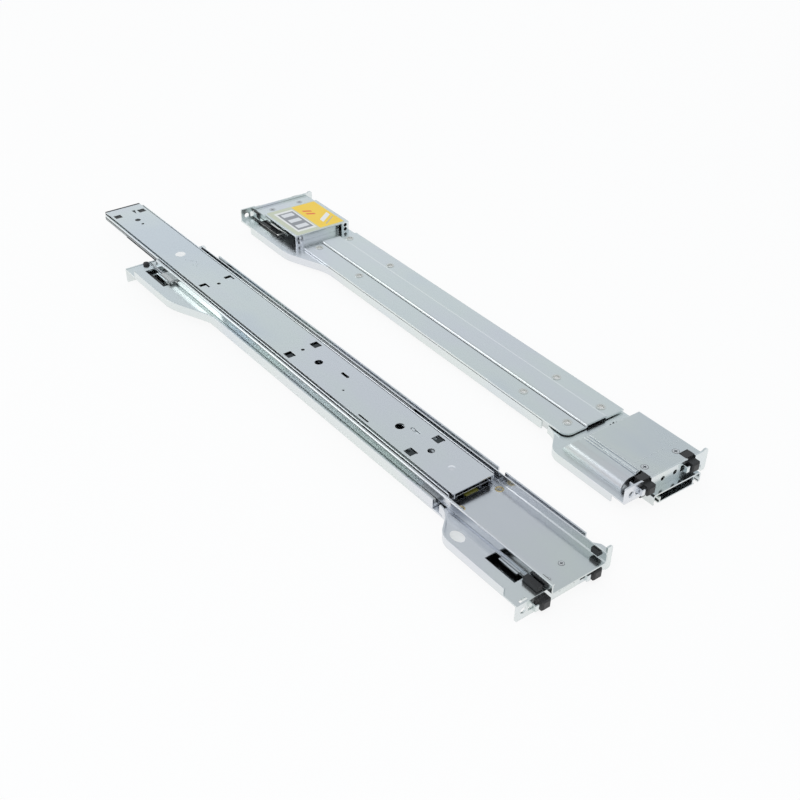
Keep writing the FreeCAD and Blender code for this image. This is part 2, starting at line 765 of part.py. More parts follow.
def rear_latch_box():
    """Sheet box over the rear latch: crown, lower ledge, folded front tabs with holes, side skirt."""
    rear = -rest_span + flange_gauge
    front = -rest_span + box_back + box_length
    step = -rest_span + box_back
    top = -box_depth
    ledge = -ledge_depth
    parts = [box((step, box_left, top), (front, box_right, top + cover_gauge))]
    parts.append(box((step, box_left, top), (step + cover_gauge, box_right, ledge + cover_gauge)))
    parts.append(box((rear + sheet_gap, box_left, ledge), (step + cover_gauge, box_right, ledge + cover_gauge)))
    for y in (box_left, box_right - box_tab_width):
        parts.append(box((front - cover_gauge, y, top), (front, y + box_tab_width, slider_bottom)))
    parts.append(box((rear + sheet_gap, box_right - cover_gauge, ledge), (front, box_right, slider_bottom)))
    parts.append(box((step, box_right - cover_gauge, top), (front, box_right, slider_bottom)))
    parts.append(box((rear + recess_depth, box_left, ledge),
                     (step + skirt_length, box_left + cover_gauge, latch_level - latch_gauge - latch_gap)))
    parts.append(box((front - inner_wall_back, box_left + box_tab_width, top),
                     (front - inner_wall_back + cover_gauge, box_right - box_tab_width, slider_bottom)))
    shape = joined(parts)
    tools = []
    for y in (box_left + box_tab_width / 2, box_right - box_tab_width / 2):
        for z in (top + 3.8, top + 9.4):
            tools.append(bore_x(front - 2 * cover_gauge, y, z, 3 * cover_gauge, box_hole_radius))
    for x, y in latch_posts(-rest_span, -1):
        tools.append(Part.makeCone(cover_head_radius, cover_screw_radius, cover_gauge, V(x, y, ledge)))
    return cut_all(shape, tools)


def box_screws():
    """Countersunk screws that hold the rear box and guide the rear latch plate."""
    screws = []
    for x, y in latch_posts(-rest_span, -1):
        head = Part.makeCone(cover_head_radius, cover_screw_radius, cover_gauge, V(x, y, -ledge_depth))
        shank = post(x, y, -ledge_depth, slider_bottom, cover_screw_radius)
        screws.append(head.fuse(shank).removeSplitter())
    return Part.makeCompound(screws)


def guide_pads(front):
    """Low-friction pads between the tray's walls and the outer channel."""
    pads = []
    for side in (-1, 1):
        y = sorted((side * (half_channel + pad_gap), side * (bracket_half_width - bracket_gauge)))
        pads.append(box((front - pad_length, y[0], slider_top), (front, y[1], slider_top + pad_height)))
    return Part.makeCompound(pads)


def channel_pads():
    """The same pads fixed to the channel near its rear end, clear of the tray's walls."""
    pads = []
    front = channel_front - channel_length + 2 * pad_length
    for side in (-1, 1):
        y = sorted((side * half_channel, side * (bracket_half_width - bracket_gauge - pad_gap)))
        pads.append(box((front - pad_length, y[0], slider_top + pad_gap + 2.0),
                        (front, y[1], slider_top + pad_gap + 2.0 + pad_height)))
    return Part.makeCompound(pads)


# ---- member release ---------------------------------------------------------------------------

def release_slider(shift):
    """Flat slider under the inner member's web with a thumb tab through the web's slot."""
    front = inner_ends(shift)[0]
    start = front - release_back
    top = channel_depth - member_gauge - sheet_gap
    y = release_y
    bar = box((start, y - 3.0, top - 1.0), (start + release_length, y + 3.0, top))
    tab_x = front - release_slot - release_travel
    tab = box((tab_x - 2.0, y - 1.2, top - 1.0), (tab_x + 2.0, y + 1.2, channel_depth - 0.2))
    shape = joined([bar, tab])
    slots = [stadium(x - release_travel / 2, y, top - 2, top + 1, 2 * pin_radius + release_travel + 2 * latch_gap,
                     2 * pin_radius + latch_gap) for x in release_pin_points(shift)]
    return cut_all(shape, slots)


def release_pin_points(shift):
    start = inner_ends(shift)[0] - release_back
    return [start + 10.0, start + release_length - 6.0]


def release_pins(shift):
    """Shouldered pins that carry the slider."""
    top = channel_depth - member_gauge
    pins = []
    for x in release_pin_points(shift):
        pin = post(x, release_y, top - 2.4, top, pin_radius)
        pins.append(pin.fuse(post(x, release_y, top - 2.4, top - 1.8, 2 * pin_radius)).removeSplitter())
    return Part.makeCompound(pins)


# ---- placing --------------------------------------------------------------------------------

def rail_nodes(slide_shift):
    """All sub-parts of one rail in the rail frame, with its slides shifted along x."""
    front_face = 0.0
    rear_face = -rest_span
    window_rear = window_front + window_length
    rear_window_rear = rear_window_front + rear_window_length
    return {
        "front_bracket": front_bracket(),
        "front_cover": front_cover(),
        "back_strip": back_strip(),
        "outer_channel": outer_channel(),
        "tubular_rivets": tubular_rivets(),
        "web_screws": web_screws(),
        "cover_screws": cover_screws(),
        "front_pegs": pegs(front_face, 1, -cover_depth, True),
        "channel_bumper": channel_bumper(),
        "cage_stops": cage_stops(),
        "channel_pads": channel_pads(),
        "rear_bracket": rear_bracket(),
        "rear_latch_box": rear_latch_box(),
        "rear_pegs": pegs(rear_face, -1, sheet_gap - ledge_depth + cover_gauge, False),
        "box_screws": box_screws(),
        "tray_pads": guide_pads(-rear_front_edge - 4.0),
        "middle_member": middle_member(slide_shift),
        "member_end_caps": member_end_caps(slide_shift),
        "inner_member": inner_member(slide_shift),
        "inner_end_block": inner_end_block(slide_shift),
        "release_slider": release_slider(slide_shift),
        "release_pins": release_pins(slide_shift),
        "outer_ball_cage": ball_cage(outer_ball_y, web_top + cage_gap, slide_shift / 2),
        "outer_balls": balls(outer_ball_y, slide_shift / 2),
        "inner_ball_cage": ball_cage(inner_ball_y, middle_top + cage_gap, slide_shift),
        "inner_balls": balls(inner_ball_y, slide_shift),
        "front_latch": latch(front_face, 1, -bracket_gauge, window_front, window_rear),
        "rear_latch": latch(rear_face, -1, slider_bottom, rear_window_front, rear_window_rear),
        "front_latch_spring": latch_spring(front_face, 1, cover_right - cover_gauge),
        "rear_latch_spring": latch_spring(rear_face, -1, box_right - cover_gauge),
    }


def place_left(shape):
    """Slide side up, lying on its flange edges."""
    moved = shape.copy()
    moved.translate(V(origin_x, origin_y, flange_depth))
    return moved


def place_right(shape):
    """Rack side up: mirrored, set back and splayed a little beside the left rail."""
    moved = shape.mirror(V(0, 0, 0), V(0, 0, 1))
    moved.rotate(V(0, 0, 0), V(0, 0, 1), -right_splay)
    moved.translate(V(origin_x - right_setback, origin_y + rail_spacing, channel_depth))
    return moved


rearmost = channel_front - pushed_back - inner_length
foremost = channel_front
origin_x = -(foremost + rearmost) / 2
splay = math.radians(right_splay)
highest_y = rail_spacing + rest_span * math.sin(splay) + flange_right * math.cos(splay)
origin_y = -(highest_y - flare_reach) / 2

os.makedirs("parts", exist_ok=True)
for prefix, shift, place in (("left", -pushed_back, place_left), ("right", 0.0, place_right)):
    for node, shape in rail_nodes(shift).items():
        place(shape).exportStep("parts/" + prefix + "_" + node + ".step")
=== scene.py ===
import json
import math

import bmesh
import bpy
from mathutils import Matrix, Vector


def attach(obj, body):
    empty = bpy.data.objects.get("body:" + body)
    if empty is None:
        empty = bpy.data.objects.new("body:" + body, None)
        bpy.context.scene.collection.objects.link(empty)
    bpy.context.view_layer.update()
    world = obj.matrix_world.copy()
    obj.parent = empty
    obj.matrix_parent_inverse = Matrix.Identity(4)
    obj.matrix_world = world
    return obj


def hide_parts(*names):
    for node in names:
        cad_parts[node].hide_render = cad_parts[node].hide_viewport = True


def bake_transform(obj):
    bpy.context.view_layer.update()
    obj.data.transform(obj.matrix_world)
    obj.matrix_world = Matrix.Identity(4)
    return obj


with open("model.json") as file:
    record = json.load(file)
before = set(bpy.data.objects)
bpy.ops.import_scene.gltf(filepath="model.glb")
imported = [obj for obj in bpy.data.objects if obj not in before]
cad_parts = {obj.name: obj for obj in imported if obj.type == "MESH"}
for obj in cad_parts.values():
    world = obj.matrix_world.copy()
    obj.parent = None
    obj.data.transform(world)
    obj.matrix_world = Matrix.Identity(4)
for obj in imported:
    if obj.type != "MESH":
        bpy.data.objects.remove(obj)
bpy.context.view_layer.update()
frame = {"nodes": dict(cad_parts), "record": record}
mm = 0.001
print("frame loaded:", len(frame["nodes"]), "nodes")


# a shader socket that can be used in sums
class Value:
    def __init__(self, tree, socket):
        self.tree = tree
        self.socket = socket

    def maths(self, operation, a, b):
        return self.tree.add("ShaderNodeMath", {"operation": operation}, {0: a, 1: b})

    def __add__(self, other): return self.maths("ADD", self, other)
    def __radd__(self, other): return self.maths("ADD", other, self)
    def __sub__(self, other): return self.maths("SUBTRACT", self, other)
    def __rsub__(self, other): return self.maths("SUBTRACT", other, self)
    def __mul__(self, other): return self.maths("MULTIPLY", self, other)
    def __rmul__(self, other): return self.maths("MULTIPLY", other, self)
    def __gt__(self, other): return self.maths("GREATER_THAN", self, other)
    def __lt__(self, other): return self.maths("LESS_THAN", self, other)


# one node tree: add() makes any node from its type, settings and socket values
class Tree:
    def __init__(self, tree):
        self.nodes = tree.nodes
        self.links = tree.links

    def add(self, kind, settings=None, values=None, output=0):
        node = self.nodes.new(kind)
        for key, value in (settings or {}).items():
            if key == "stops":
                self.setStops(node.color_ramp, value)
            else:
                setattr(node, key, value)
        for key, value in (values or {}).items():
            self.join(value, node.inputs[key])
        return Value(self, node.outputs[output]) if output is not None else None

    def setStops(self, ramp, stops):
        while len(ramp.elements) < len(stops):
            ramp.elements.new(0.5)
        for element, (place, colour) in zip(ramp.elements, stops):
            element.position = place
            element.color = (*colour, 1)

    def join(self, value, socket):
        if isinstance(value, Value):
            self.links.new(value.socket, socket)
        elif hasattr(value, "__len__") and len(value) == 3 and len(socket.default_value) == 4:
            socket.default_value = (*value, 1)
        else:
            socket.default_value = value


# one material: shell() sets the surface's sockets
class Finish(Tree):
    def __init__(self, name):
        self.material = bpy.data.materials.new(name)
        self.material.use_nodes = True
        super().__init__(self.material.node_tree)
        self.surface = self.nodes["Principled BSDF"]
        self.place = self.add("ShaderNodeTexCoord", output="Object")

    def shell(self, **values):
        for key, value in values.items():
            self.join(value, self.surface.inputs[key.replace("_", " ")])
        return self.material

    def noise(self, scale, detail=2.0, stretch=(1, 1, 1), rough=0.5):
        place = self.add("ShaderNodeMapping", {}, {"Vector": self.place, "Scale": stretch})
        values = {"Vector": place, "Scale": scale, "Detail": detail, "Roughness": rough}
        return self.add("ShaderNodeTexNoise", {}, values, "Fac")

    def blend(self, factor, first, second):
        return self.add("ShaderNodeMix", {"data_type": "RGBA"}, {0: factor, 6: first, 7: second}, 2)

    def ramp(self, factor, stops):
        return self.add("ShaderNodeValToRGB", {"stops": stops}, {"Fac": factor}, "Color")

    # soft sheet edges, with a fine height on top
    def relief(self, height, strength, distance, edge=0.0):
        values = {"Height": height, "Strength": strength, "Distance": distance}
        if edge:
            values["Normal"] = self.add("ShaderNodeBevel", {"samples": 4}, {"Radius": edge * mm})
        return self.add("ShaderNodeBump", {}, values, "Normal")


# zinc-plated sheet: faint blue, violet and green clouds, rolling streaks, softened edges
zinc = {
    "blue": (0.72, 0.765, 0.795),
    "green": (0.765, 0.81, 0.79),
    "violet": (0.765, 0.78, 0.815),
    "roughness": 0.23,
    "streak": 800.0,
    "streakTone": (0.22, 0.86),
    "cloud": 9.0,
    "cloudStops": (0.36, 0.5, 0.64),
    "edge": 0.55,
    "relief": (0.02, 0.0003),
}


def zincFinish(name, along=(0.02, 1, 1), roughness=zinc["roughness"], lift=1.0, edge=zinc["edge"]):
    finish = Finish(name)
    streak = finish.noise(zinc["streak"], 3.0, along)
    cloud = finish.noise(zinc["cloud"], 3.0, (0.5, 1, 1), 0.55)
    drift = finish.noise(zinc["cloud"] * 0.6, 2.0, (1, 0.6, 1))
    blue, green, violet = (tuple(min(c * lift, 1) for c in zinc[tone]) for tone in ("blue", "green", "violet"))
    share, shade = zinc["streakTone"]
    colour = finish.ramp(cloud, list(zip(zinc["cloudStops"], (blue, green, violet))))
    colour = finish.blend(streak * share, colour, tuple(c * shade for c in blue))
    rough = roughness + (drift - 0.5) * 0.16 + (streak - 0.5) * 0.06
    return finish.shell(Base_Color=colour, Metallic=1.0, Roughness=rough,
                        Normal=finish.relief(streak, *zinc["relief"], edge))


def plainMetal(name, tone, roughness, edge=0.0):
    finish = Finish(name)
    cloud = finish.noise(220.0, 3.0)
    colour = finish.blend(cloud, tuple(c * 0.84 for c in tone), tone)
    return finish.shell(Base_Color=colour, Metallic=1.0, Roughness=roughness + (cloud - 0.5) * 0.12,
                        Normal=finish.relief(cloud, 0.05, 0.0002, edge))


def mouldedPlastic(name, dark, pale, roughness=0.42):
    finish = Finish(name)
    grain = finish.noise(1500.0, 2.0)
    cloud = finish.noise(60.0, 2.0)
    colour = finish.blend(cloud, dark, pale)
    return finish.shell(Base_Color=colour, Roughness=roughness + (cloud - 0.5) * 0.15,
                        Normal=finish.relief(grain, 0.12, 0.0002, 0.5))


def paperFinish(name, tone):
    finish = Finish(name)
    grain = finish.noise(900.0, 3.0)
    colour = finish.blend(grain, tuple(c * 0.94 for c in tone), tone)
    return finish.shell(Base_Color=colour, Roughness=0.5 + (grain - 0.5) * 0.1,
                        Normal=finish.relief(grain, 0.05, 0.0001))


sheetMetal = zincFinish("zincSheet", lift=1.04)
# the slide's own zinc, lighter than the cover's; on the cover's crease, crests and bar it is a painted highlight
slideZincAndHighlight = zincFinish("zincSlideAndHighlight", roughness=0.2, lift=1.06, edge=0.35)
plateMetal = zincFinish("zincPlate", roughness=0.2, lift=1.03)
channelMetal = zincFinish("zincChannel", roughness=0.17, lift=0.97, edge=0.4)
coverMetal = zincFinish("zincCover", roughness=0.27, lift=0.95, edge=0.6)
ballMetal = plainMetal("ballSteel", (0.82, 0.84, 0.86), 0.08)
cageMetal = plainMetal("cageStrip", (0.56, 0.58, 0.58), 0.3)
rivetMetal = plainMetal("rivetZinc", (0.80, 0.81, 0.78), 0.22, 0.3)
rimMetal = plainMetal("rivetRim", (0.78, 0.64, 0.36), 0.25, 0.2)
screwMetal = plainMetal("screwSteel", (0.78, 0.79, 0.80), 0.22, 0.3)
wireMetal = plainMetal("springWire", (0.62, 0.64, 0.66), 0.22)
# near-black finish for painted shade in gaps, recesses, windows and stamped marks, and for fine dark specks
gapMetal = plainMetal("shadedSteel", (0.07, 0.08, 0.085), 0.5)
# black moulded plastic, also used as painted shade in the finger pocket
blackPlasticAndShade = mouldedPlastic("blackPlasticAndShade", (0.010, 0.010, 0.011), (0.022, 0.022, 0.023))
greyNylon = mouldedPlastic("greyNylon", (0.50, 0.52, 0.52), (0.58, 0.60, 0.60), 0.38)
# dark bluish finish painted as the shade at the feet of the cover's ridges
bluishShadeSteel = plainMetal("bluishShadeSteel", (0.40, 0.47, 0.56), 0.3)
olivePlastic = mouldedPlastic("olivePlastic", (0.10, 0.10, 0.012), (0.16, 0.15, 0.02), 0.35)
# paper tone for the stickers, also used as painted light in the rivet bores
whitePaperAndPaintedLight = paperFinish("whitePaperAndPaintedLight", (0.90, 0.90, 0.89))

nodeFinish = {
    "front_bracket": sheetMetal, "front_cover": coverMetal, "back_strip": plateMetal,
    "outer_channel": channelMetal, "tubular_rivets": rivetMetal, "web_screws": screwMetal,
    "cover_screws": coverMetal, "front_pegs": blackPlasticAndShade, "channel_bumper": olivePlastic,
    "cage_stops": blackPlasticAndShade, "channel_pads": greyNylon, "front_latch_spring": wireMetal,
    "rear_bracket": sheetMetal, "rear_latch_box": sheetMetal, "rear_pegs": blackPlasticAndShade,
    "box_screws": sheetMetal, "tray_pads": greyNylon, "rear_latch_spring": wireMetal,
    "middle_member": slideZincAndHighlight, "member_end_caps": blackPlasticAndShade, "inner_member": plateMetal,
    "inner_end_block": blackPlasticAndShade, "release_pins": screwMetal, "release_slider": sheetMetal,
    "outer_ball_cage": cageMetal, "outer_balls": ballMetal, "inner_ball_cage": cageMetal,
    "inner_balls": ballMetal, "front_latch": sheetMetal, "rear_latch": sheetMetal,
}
for name, piece in frame["nodes"].items():
    material = nodeFinish[name.split("_", 1)[1]]
    piece.data.materials.clear()
    piece.data.materials.append(material)
print("finishes on", len(frame["nodes"]), "nodes")


# each rail's own frame, in mm, from its front pegs: x to the front, y across, z to the chassis
pegs = {"reach": 7.0, "centre": -6.0, "level": -8.0}
mounts = {mount["name"]: mount for mount in frame["record"]["mounts"]}
nodeBody = {node: body for body, nodes in frame["record"]["behaviour"]["bodies"].items() for node in nodes}


def railFrame(side):
    first = Vector(mounts[side + "_front_peg_a"]["pos_m"])
    second = Vector(mounts[side + "_front_peg_b"]["pos_m"])
    along = Vector(mounts[side + "_front_peg_a"]["axis"])
    across = (second - first).normalized()
    up = Vector((0, 0, 1 if side == "left" else -1))
    origin = (first + second) / 2 - (along * pegs["reach"] + across * pegs["centre"] + up * pegs["level"]) * mm
    turned = Matrix((along, across, up)).transposed().to_4x4()
    return Matrix.Translation(origin) @ turned @ Matrix.Scale(mm, 4)


rails = {side: railFrame(side) for side in ("left", "right")}
slideRest = {"left": -131.0, "right": 0.0}  # how far each rail's slide is pushed back


# mesh tools, all in the rail's own mm
def finishMesh(name, build):
    mesh = bpy.data.meshes.new(name)
    bmesh.ops.recalc_face_normals(build, faces=build.faces)
    build.to_mesh(mesh)
    build.free()
    return mesh


def turned(build, profile, x, y, z, facing=1, count=24):
    # round form: profile is (radius, height) from the middle out
    rings = []
    for radius, height in profile:
        if radius == 0:
            rings.append([build.verts.new((x, y, z + facing * height))] * count)
            continue
        angles = [2 * math.pi * i / count for i in range(count)]
        rings.append([build.verts.new((x + radius * math.cos(a), y + radius * math.sin(a), z + facing * height))
                      for a in angles])
    for inner, outer in zip(rings, rings[1:]):
        for i in range(count):
            corners = [inner[i], outer[i], outer[(i + 1) % count], inner[(i + 1) % count]]
            build.faces.new(list(dict.fromkeys(corners)))


def plate(build, outline, low, high, soft=0.0):
    # flat form with a chamfered upper edge; outline runs round the middle
    middle = Vector((sum(p[0] for p in outline), sum(p[1] for p in outline))) / len(outline)
    step = soft if high > low else -soft
    loops = []
    for height, inset in ((low, 0), (high - step, 0), (high, soft)):
        loop = []
        for x, y in outline:
            dx, dy = x - middle.x, y - middle.y
            x -= math.copysign(min(inset, abs(dx)), dx)
            y -= math.copysign(min(inset, abs(dy)), dy)
            loop.append(build.verts.new((x, y, height)))
        loops.append(loop)
    count = len(outline)
    for lower, upper in zip(loops, loops[1:]):
        for i in range(count):
            build.faces.new((lower[i], lower[(i + 1) % count], upper[(i + 1) % count], upper[i]))
    for loop in (loops[0], loops[-1]):
        build.faces.new(loop)


def strip(build, x0, x1, y0, y1, z0, z1):
    # straight bar whose upper long edges are broken
    soft = min(0.25 * abs(y1 - y0), 0.25 * abs(z1 - z0))
    lift = soft if z1 > z0 else -soft
    section = [(y0, z0), (y1, z0), (y1, z1 - lift), (y1 - soft, z1), (y0 + soft, z1), (y0, z1 - lift)]
    ends = [[build.verts.new((x, y, z)) for y, z in section] for x in (x0, x1)]
    count = len(section)
    for i in range(count):
        build.faces.new((ends[0][i], ends[1][i], ends[1][(i + 1) % count], ends[0][(i + 1) % count]))
    for end in ends:
        build.faces.new(end)


def rounded(x0, y0, x1, y1, radius, count=5):
    corners = [(x1 - radius, y1 - radius, 0), (x0 + radius, y1 - radius, 90),
               (x0 + radius, y0 + radius, 180), (x1 - radius, y0 + radius, 270)]
    points = []
    for x, y, start in corners:
        for i in range(count):
            angle = math.radians(start + 90 * i / (count - 1))
            points.append((x + radius * math.cos(angle), y + radius * math.sin(angle)))
    return points


def ellipse(x, y, halfLength, halfWidth, count=40):
    angles = [2 * math.pi * i / count for i in range(count)]
    return [(x + halfLength * math.cos(a), y + halfWidth * math.sin(a)) for a in angles]


def cross(x, y, reach, half):
    quarter = [(reach, -half), (reach, half), (half, half)]
    points = []
    for i in range(4):
        for px, py in quarter:
            for _ in range(i):
                px, py = -py, px
            points.append((x + px, y + py))
    return points


def wire(name, points, radius):
    curve = bpy.data.curves.new(name, "CURVE")
    curve.dimensions = "3D"
    curve.bevel_depth = radius
    curve.bevel_resolution = 3
    curve.use_fill_caps = True
    spline = curve.splines.new("POLY")
    spline.points.add(len(points) - 1)
    for knot, point in zip(spline.points, points):
        knot.co = (*point, 1)
    holder = bpy.data.objects.new(name, curve)
    bpy.context.scene.collection.objects.link(holder)
    bpy.context.view_layer.update()
    mesh = bpy.data.meshes.new_from_object(holder.evaluated_get(bpy.context.evaluated_depsgraph_get()))
    bpy.data.objects.remove(holder)
    return mesh


def makePiece(name, side, mesh, *materials):
    mesh.transform(rails[side])
    if side == "right":
        mesh.flip_normals()
    mesh.materials.clear()
    for material in materials:
        mesh.materials.append(material)
    piece = bpy.data.objects.new(side + "_" + name, mesh)
    bpy.context.scene.collection.objects.link(piece)
    return piece


def carried(name, side, node, mesh, *materials, slotName="zinc_sheet", smooth=True):
    piece = makePiece(name, side, mesh, *materials)
    for face in piece.data.polygons:
        face.use_smooth = smooth
    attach(piece, nodeBody[side + "_" + node])
    return piece


# coil springs that draw the latches home, stretched between latch and pocket wall
springs = {"coilRadius": 1.85, "wireRadius": 0.34, "turns": 8, "steps": 14, "level": -5.8, "start": 22.3,
           "leg": 2.4, "legBend": 0.5, "hookIn": 1.6, "hookOut": 0.1,
           "ends": {"front": (-17.8, 35.2), "rear": (-663.3, 34.8)}}


def makeSpring(side, end):
    x, stop = springs["ends"][end]
    level, radius, turns = springs["level"], springs["coilRadius"], springs["turns"]
    start, leg, bend, steps = (springs[key] for key in ("start", "leg", "legBend", "steps"))
    first, last = start + leg, stop - leg
    points = [(x, start - springs["hookIn"], level), (x, first - bend, level)]
    count = turns * steps
    for i in range(count + 1):
        angle = 2 * math.pi * i / steps
        across = first + (last - first) * i / count
        points.append((x + radius * math.sin(angle), across, level + radius * math.cos(angle)))
    points += [(x, last + bend, level), (x, stop + springs["hookOut"], level)]
    node = "%s_%s_latch_spring" % (side, end)
    piece = makePiece(end + "LatchSpring", side, wire("spring", points, springs["wireRadius"]), wireMetal)
    for face in piece.data.polygons:
        face.use_smooth = True
    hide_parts(node)
    latch = nodeBody["%s_%s_latch" % (side, end)]
    near, far = (rails[side] @ Vector((x, y, level)) for y in (start, stop))
    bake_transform(piece)


for side in rails:
    for end in springs["ends"]:
        makeSpring(side, end)
print("springs made")


# screw heads with cross recesses; each is node, x, y, z, which way it faces, head radius
screws = {
    "web": ("web_screws", -14.0, 0.0, 1.6, 1, 2.6),
    "webSide": ("web_screws", -7.0, -22.0, 1.6, 1, 2.6),
    "coverLeft": ("cover_screws", -14.8, -23.0, -15.5, -1, 3.4),
    "coverRight": ("cover_screws", -14.8, 17.3, -15.5, -1, 3.4),
    "boxLeft": ("box_screws", -666.3, -23.0, -13.0, -1, 3.4),
    "boxRight": ("box_screws", -666.3, 17.3, -13.0, -1, 3.4),
}


# radii below are shares of the head's radius, heights are in mm
screwForm = {
    "head": ((0, 0.16), (0.5, 0.15), (0.86, 0.1), (0.97, 0.02)),
    "ring": ((0.97, 0.03), (1.0, 0.06), (1.08, 0.03)),
    "cross": (0.56, 0.14),
    "crossLevels": (0.1, 0.19),
}


def makeScrew(side, name):
    node, x, y, z, facing, radius = screws[name]
    head, ring = ([(radius * share, height) for share, height in screwForm[key]] for key in ("head", "ring"))
    reach, half = (radius * share for share in screwForm["cross"])
    low, high = (z + facing * level for level in screwForm["crossLevels"])
    build = bmesh.new()
    turned(build, head, x, y, z, facing)
    carried(name + "Head", side, node, finishMesh("head", build), screwMetal, slotName="screw_steel")
    # painted shade: the cross recess and a thin ring round the head in the near-black finish
    build = bmesh.new()
    plate(build, cross(x, y, reach, half), low, high, 0.03)
    turned(build, ring, x, y, z, facing)
    carried(name + "Recess", side, node, finishMesh("recess", build), gapMetal, slotName="screw_steel", smooth=False)


for side in rails:
    for name in screws:
        makeScrew(side, name)


# hollow rivets: a golden rolled rim on the chassis side of the web, and on the rack side a pale disc in the bore
# painted as the light seen through the hollow rivet
rivets = {
    "rows": (-114.6, -178.3, -469.5, -556.0),
    "half": 22.225,
    "web": 1.5,
    "rim": ((2.8, -0.4), (2.9, 0.2), (3.3, 0.33), (3.8, 0.26), (4.15, 0.0)),
    "lightDisc": ((0, 2.3), (2.6, 2.3), (3.05, 2.5), (3.25, 3.2)),
}


def onRivets(form, level, facing):
    build = bmesh.new()
    for x in rivets["rows"]:
        for y in (-rivets["half"], rivets["half"]):
            turned(build, rivets[form], x, y, level, facing)
    return finishMesh(form, build)


def makeRivets(side):
    carried("rivetRims", side, "tubular_rivets", onRivets("rim", rivets["web"], 1), rimMetal, slotName="rivet_brass")
    # pale discs painted as the light seen through the hollow rivets
    carried("rivetCups", side, "tubular_rivets", onRivets("lightDisc", 0, -1), whitePaperAndPaintedLight, slotName="rivet_brass")


for side in rails:
    makeRivets(side)
print("screws and rivets made")


def oblong(x0, x1, y0, y1):
    return [(x0, y0), (x1, y0), (x1, y1), (x0, y1)]


# backing strip: dark strips painted as the shadow line under the pressed rib's left side and as a fine shade line on
# its right
rib = {"front": -99.6, "rear": -564.6, "left": (-13.4, -11.9), "right": (14.7, 15.1), "levels": (-4.78, -4.85)}


def makeRibLines(side):
    build = bmesh.new()
    for near, far in (rib["left"], rib["right"]):
        plate(build, oblong(rib["rear"], rib["front"], near, far), *rib["levels"], 0.02)
    carried("ribLines", side, "back_strip", finishMesh("lines", build), gapMetal, smooth=False)


# front cover: pressed crease behind the screws, drawn in the lighter slide zinc as a painted highlight line, and two
# small stamped marks on the ramp painted dark as their shade
crease = {
    "x": -24.0,
    "left": -28.0,
    "right": 35.6,
    "width": 0.45,
    "levels": (-15.48, -15.66),
    "marks": ((-81.5, 2.0), (-82.3, 6.5), (-81.0, 9.5)),
    "markHalf": (1.3, 0.35),
    "markCorner": 0.3,
    "markLevels": (-10.0, -11.9),
}


def makeCoverCrease(side):
    build = bmesh.new()
    x, half = crease["x"], crease["width"] / 2
    plate(build, oblong(x - half, x + half, crease["left"], crease["right"]), *crease["levels"], 0.1)
    # the crease bead uses the lighter slide zinc as a painted highlight line
    carried("coverCrease", side, "front_cover", finishMesh("crease", build), slideZincAndHighlight, smooth=False)
    # the ramp marks are painted dark as their shade
    build = bmesh.new()
    along, across = crease["markHalf"]
    for x, y in crease["marks"]:
        plate(build, rounded(x - along, y - across, x + along, y + across, crease["markCorner"]),
              *crease["markLevels"], 0.1)
    carried("rampMarks", side, "front_cover", finishMesh("marks", build), gapMetal, smooth=False)


# the cover's three ridges: crests painted bright in the lighter slide zinc as highlights, feet painted dark bluish
# as their shade, and a raised bar beside them in the same lighter zinc as a painted highlight
ridges = {
    "rear": -76.5,
    "front": -14.5,
    "crests": ((-29.2, -15.5), (-31.5, -14.5), (-33.8, -13.5)),
    "crestReach": (-0.3, 0.25, 0.1, -0.14),  # across, then in height
    "feet": ((-30.6, -14.5), (-32.9, -13.5), (-35.4, -12.5)),
    "footReach": (-0.25, 0.35, 0.1, -0.05),
    "bar": (-56.0, -14.5, -34.2, -31.4, -13.4, -15.1),
}


def ridgeStrips(build, lines, reach):
    left, right, low, high = reach
    for y, z in lines:
        strip(build, ridges["rear"], ridges["front"], y + left, y + right, z + low, z + high)


def makeRidges(side):
    build = bmesh.new()
    # crests and bar in the lighter slide zinc: painted highlights
    ridgeStrips(build, ridges["crests"], ridges["crestReach"])
    strip(build, *ridges["bar"])
    carried("coverRidges", side, "front_cover", finishMesh("ridges", build), slideZincAndHighlight, smooth=False)
    # feet in the dark bluish finish: painted shade
    build = bmesh.new()
    ridgeStrips(build, ridges["feet"], ridges["footReach"])
    carried("ridgeFeet", side, "front_cover", finishMesh("feet", build), bluishShadeSteel, smooth=False)


for side in rails:
    makeRibLines(side)
    makeCoverCrease(side)
    makeRidges(side)
print("rib, crease and ridges made")


# inner member: dimple, punched triangle painted dark as the shade in its punching, and fine dark specks
webMarks = {
    "top": 11.5,
    "dimple": (-22.0, -1.0, 3.6),
    "dimpleForm": ((0, 0.75), (0.4, 0.66), (0.75, 0.3), (0.92, 0.08), (1.0, 0.0)),  # share of radius, height
    "triangle": ((-666.5, 5.2), (-666.2, 9.6), (-655.5, 6.6)),
    "triangleLevels": (-0.02, 0.03),
    "specks": ((-509.0, -3.0), (-503.0, 1.2), (-501.8, 2.4), (-497.0, 4.6), (-492.5, -2.0), (-491.0, 3.4),
               (-488.0, 0.2)),
    "speckForm": ((0, 0.03), (0.45, 0.02)),
}


def makeWebMarks(side):
    shift, top = slideRest[side], webMarks["top"]
    if side == "left":  # the right rail rests on this face
        x, y, radius = webMarks["dimple"]
        build = bmesh.new()
        turned(build, [(radius * share, height) for share, height in webMarks["dimpleForm"]], x + shift, y, top)
        carried("webDimple", side, "inner_member", finishMesh("dimple", build), slideZincAndHighlight)
    # the triangle is painted dark as its shade; the specks are fine dark dots
    build = bmesh.new()
    low, high = (top + level for level in webMarks["triangleLevels"])
    plate(build, [(x + shift, y) for x, y in webMarks["triangle"]], low, high, 0.01)
    for x, y in webMarks["specks"]:
        turned(build, webMarks["speckForm"], x + shift, y, top, count=10)
    carried("webMarks", side, "inner_member", finishMesh("webMarks", build), gapMetal, smooth=False)


